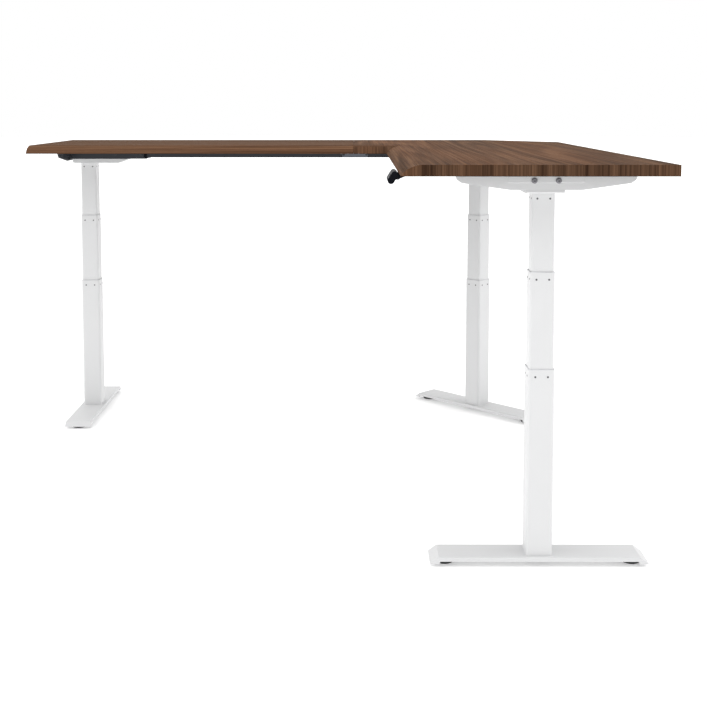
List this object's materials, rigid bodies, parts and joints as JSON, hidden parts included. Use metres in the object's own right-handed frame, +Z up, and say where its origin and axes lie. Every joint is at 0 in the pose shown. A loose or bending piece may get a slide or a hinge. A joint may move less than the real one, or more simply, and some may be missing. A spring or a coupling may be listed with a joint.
{
  "type": "height adjustable corner desk",
  "caption": "L-shaped corner desk with a walnut laminate top in separate boards on white telescopic legs, dark cross rails and a tilting paddle handset.",
  "frame": {"origin": "on the floor, under the middle of the square that the top fills", "axes": "+Z up; the left wing runs along -X from the corner leg and the near wing along -Y; the user stands in the inner corner on the -X -Y side"},
  "size_m": [2, 2, 1.069],
  "materials": {
    "white_powder": "white fine powder coat",
    "charcoal_powder": "charcoal fine powder coat",
    "walnut_laminate": "satin walnut laminate on chipboard",
    "grey_plastic": "moulded",
    "black_plastic": "fine texture",
    "black_rubber": "moulded",
    "black_steel": "black oxide",
    "bare_steel": "machined",
    "zinc_steel": "zinc plated",
    "cast_alloy": "die cast"
  },
  "bodies": {
    "corner_base": {"foot_corner": "white_powder", "outer_tube_corner": "white_powder", "outer_glide_corner": "grey_plastic", "base_screws_corner": "black_steel"},
    "corner_middle": {"middle_tube_corner": "white_powder", "middle_glide_corner": "grey_plastic", "middle_screws_corner": "black_steel", "drive_nut_corner": "bare_steel"},
    "top": {"desktop_left": "walnut_laminate", "desktop_right": "walnut_laminate", "seam_plates": "zinc_steel", "wood_screws": "zinc_steel", "rail_sleeves": "charcoal_powder", "cross_rails_left": "charcoal_powder", "cross_rails_near": "charcoal_powder", "splice_plates": "zinc_steel", "side_bracket_left": "white_powder", "side_bracket_near": "white_powder", "corner_bracket": "charcoal_powder", "frame_bolts": "black_steel", "head_screws": "black_steel", "drive_motors": "bare_steel", "gearboxes": "cast_alloy", "control_box": "black_plastic", "handset_mount": "black_plastic", "inner_tube_corner": "white_powder", "inner_tube_left": "white_powder", "inner_tube_near": "white_powder", "motor_housing_corner": "white_powder", "motor_housing_left": "white_powder", "motor_housing_near": "white_powder"},
    "left_middle": {"middle_tube_left": "white_powder", "middle_glide_left": "grey_plastic", "middle_screws_left": "black_steel", "drive_nut_left": "bare_steel"},
    "left_base": {"foot_left": "white_powder", "outer_tube_left": "white_powder", "outer_glide_left": "grey_plastic", "base_screws_left": "black_steel"},
    "near_middle": {"middle_tube_near": "white_powder", "middle_glide_near": "grey_plastic", "middle_screws_near": "black_steel", "drive_nut_near": "bare_steel"},
    "near_base": {"foot_near": "white_powder", "outer_tube_near": "white_powder", "outer_glide_near": "grey_plastic", "base_screws_near": "black_steel"},
    "paddle": {"handset_paddle": "black_plastic"},
    "spindle_corner": {"lead_screw_corner": "bare_steel"},
    "pad_corner_a": {"pad_corner_a": "black_rubber"},
    "pad_corner_b": {"pad_corner_b": "black_rubber"},
    "spindle_left": {"lead_screw_left": "bare_steel"},
    "pad_left_a": {"pad_left_a": "black_rubber"},
    "pad_left_b": {"pad_left_b": "black_rubber"},
    "spindle_near": {"lead_screw_near": "bare_steel"},
    "pad_near_a": {"pad_near_a": "black_rubber"},
    "pad_near_b": {"pad_near_b": "black_rubber"},
    "key_1": {"memory_key_1": "grey_plastic"},
    "key_2": {"memory_key_2": "grey_plastic"},
    "key_3": {"memory_key_3": "grey_plastic"}
  },
  "joints": [
    {"name": "lift", "type": "slide", "parent": "corner_base", "child": "corner_middle", "axis": [0, 0, 1], "range_m": [-0.232, 0.11]},
    {"name": "corner_inner_slide", "type": "slide", "parent": "corner_middle", "child": "top", "axis": [0, 0, 1], "range_m": [-0.1856, 0.088]},
    {"name": "left_inner_slide", "type": "slide", "parent": "top", "child": "left_middle", "axis": [0, 0, -1], "range_m": [-0.1856, 0.088]},
    {"name": "left_middle_slide", "type": "slide", "parent": "left_middle", "child": "left_base", "axis": [0, 0, -1], "range_m": [-0.232, 0.11]},
    {"name": "near_inner_slide", "type": "slide", "parent": "top", "child": "near_middle", "axis": [0, 0, -1], "range_m": [-0.1856, 0.088]},
    {"name": "near_middle_slide", "type": "slide", "parent": "near_middle", "child": "near_base", "axis": [0, 0, -1], "range_m": [-0.232, 0.11]},
    {"name": "corner_spindle_turn", "type": "hinge", "parent": "top", "child": "spindle_corner", "pos_m": [0.679, 0.679, 0.8], "axis": [0, 0, 1], "range_deg": [-3350, 1590]},
    {"name": "pad_corner_a_level", "type": "slide", "parent": "corner_base", "child": "pad_corner_a", "axis": [0, 0, 1], "range_m": [-0.008, 0]},
    {"name": "pad_corner_b_level", "type": "slide", "parent": "corner_base", "child": "pad_corner_b", "axis": [0, 0, 1], "range_m": [-0.008, 0]},
    {"name": "left_spindle_turn", "type": "hinge", "parent": "top", "child": "spindle_left", "pos_m": [-0.8545, 0.679, 0.8], "axis": [0, 0, 1], "range_deg": [-3350, 1590]},
    {"name": "pad_left_a_level", "type": "slide", "parent": "left_base", "child": "pad_left_a", "axis": [0, 0, 1], "range_m": [-0.008, 0]},
    {"name": "pad_left_b_level", "type": "slide", "parent": "left_base", "child": "pad_left_b", "axis": [0, 0, 1], "range_m": [-0.008, 0]},
    {"name": "near_spindle_turn", "type": "hinge", "parent": "top", "child": "spindle_near", "pos_m": [0.679, -0.8545, 0.8], "axis": [0, 0, 1], "range_deg": [-3350, 1590]},
    {"name": "pad_near_a_level", "type": "slide", "parent": "near_base", "child": "pad_near_a", "axis": [0, 0, 1], "range_m": [-0.008, 0]},
    {"name": "pad_near_b_level", "type": "slide", "parent": "near_base", "child": "pad_near_b", "axis": [0, 0, 1], "range_m": [-0.008, 0]},
    {"name": "paddle_tilt", "type": "hinge", "parent": "top", "child": "paddle", "pos_m": [0.3035, -0.769, 1.027], "axis": [0, 1, 0], "range_deg": [-6, 6], "stiffness_Nm_per_rad": 3},
    {"name": "key_1_press", "type": "slide", "parent": "paddle", "child": "key_1", "axis": [0.848, 0, -0.53], "range_m": [0, 0.001], "stiffness_N_per_m": 300},
    {"name": "key_2_press", "type": "slide", "parent": "paddle", "child": "key_2", "axis": [0.848, 0, -0.53], "range_m": [0, 0.001], "stiffness_N_per_m": 300},
    {"name": "key_3_press", "type": "slide", "parent": "paddle", "child": "key_3", "axis": [0.848, 0, -0.53], "range_m": [0, 0.001], "stiffness_N_per_m": 300}
  ],
  "couplings": [
    {"joint": "corner_inner_slide", "follows": "lift", "ratio": 0.8},
    {"joint": "left_inner_slide", "follows": "lift", "ratio": 0.8},
    {"joint": "left_middle_slide", "follows": "lift", "ratio": 1},
    {"joint": "near_inner_slide", "follows": "lift", "ratio": 0.8},
    {"joint": "near_middle_slide", "follows": "lift", "ratio": 1},
    {"joint": "corner_spindle_turn", "follows": "lift", "rad_per_m": 251.33},
    {"joint": "left_spindle_turn", "follows": "lift", "rad_per_m": 251.33},
    {"joint": "near_spindle_turn", "follows": "lift", "rad_per_m": 251.33}
  ]
}
